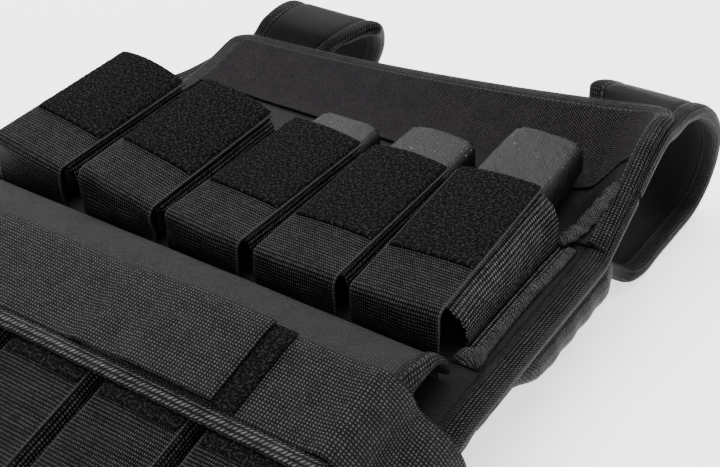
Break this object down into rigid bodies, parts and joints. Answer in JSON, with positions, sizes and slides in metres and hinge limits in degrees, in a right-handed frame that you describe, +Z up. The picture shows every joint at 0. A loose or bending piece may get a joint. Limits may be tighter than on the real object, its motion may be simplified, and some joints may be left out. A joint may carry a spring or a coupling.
{
  "type": "weighted vest",
  "caption": "Black nylon weighted training vest lying on its back, with webbing pockets that hold cast-iron bars, an open hook-and-loop flap, a waist belt and shoulder loops.",
  "frame": {"origin": "on the floor under the middle of the vest as it lies", "axes": "+Z up from the floor, +Y towards the neck end, +X towards the wearer's left"},
  "size_m": [0.374, 0.4474, 0.105],
  "materials": {
    "nylon": "satin",
    "webbing": "matte",
    "binding": "satin",
    "loop": "matte",
    "hook": "matte",
    "iron": "matte"
  },
  "bodies": {
    "root": {"front_panel": "nylon", "front_binding": "binding", "back_panel": "nylon", "back_binding": "binding", "upper_band": "webbing", "upper_strip_1": "webbing", "upper_loop_1": "loop", "upper_bar_1": "iron", "upper_strip_2": "webbing", "upper_loop_2": "loop", "upper_bar_2": "iron", "upper_strip_3": "webbing", "upper_loop_3": "loop", "upper_bar_3": "iron", "upper_strip_4": "webbing", "upper_loop_4": "loop", "upper_bar_4": "iron", "upper_strip_5": "webbing", "upper_loop_5": "loop", "upper_bar_5": "iron", "lower_band": "webbing", "lower_strip_1": "webbing", "lower_loop_1": "loop", "lower_bar_1": "iron", "lower_strip_2": "webbing", "lower_loop_2": "loop", "lower_bar_2": "iron", "lower_strip_3": "webbing", "lower_loop_3": "loop", "lower_bar_3": "iron", "lower_strip_4": "webbing", "lower_loop_4": "loop", "lower_bar_4": "iron", "lower_strip_5": "webbing", "lower_loop_5": "loop", "lower_bar_5": "iron", "back_band": "webbing", "back_strip_1": "webbing", "back_bar_1": "iron", "back_strip_2": "webbing", "back_bar_2": "iron", "back_strip_3": "webbing", "back_bar_3": "iron", "back_strip_4": "webbing", "back_bar_4": "iron", "back_strip_5": "webbing", "back_bar_5": "iron", "back_flap": "nylon", "top_flap": "nylon", "top_flap_hook": "hook", "top_flap_binding": "binding", "row_flap": "nylon", "row_flap_binding": "binding", "belt_under": "webbing", "belt_over": "webbing", "belt_hook": "hook", "strap_right": "nylon", "strap_left": "nylon"}
  },
  "joints": []
}
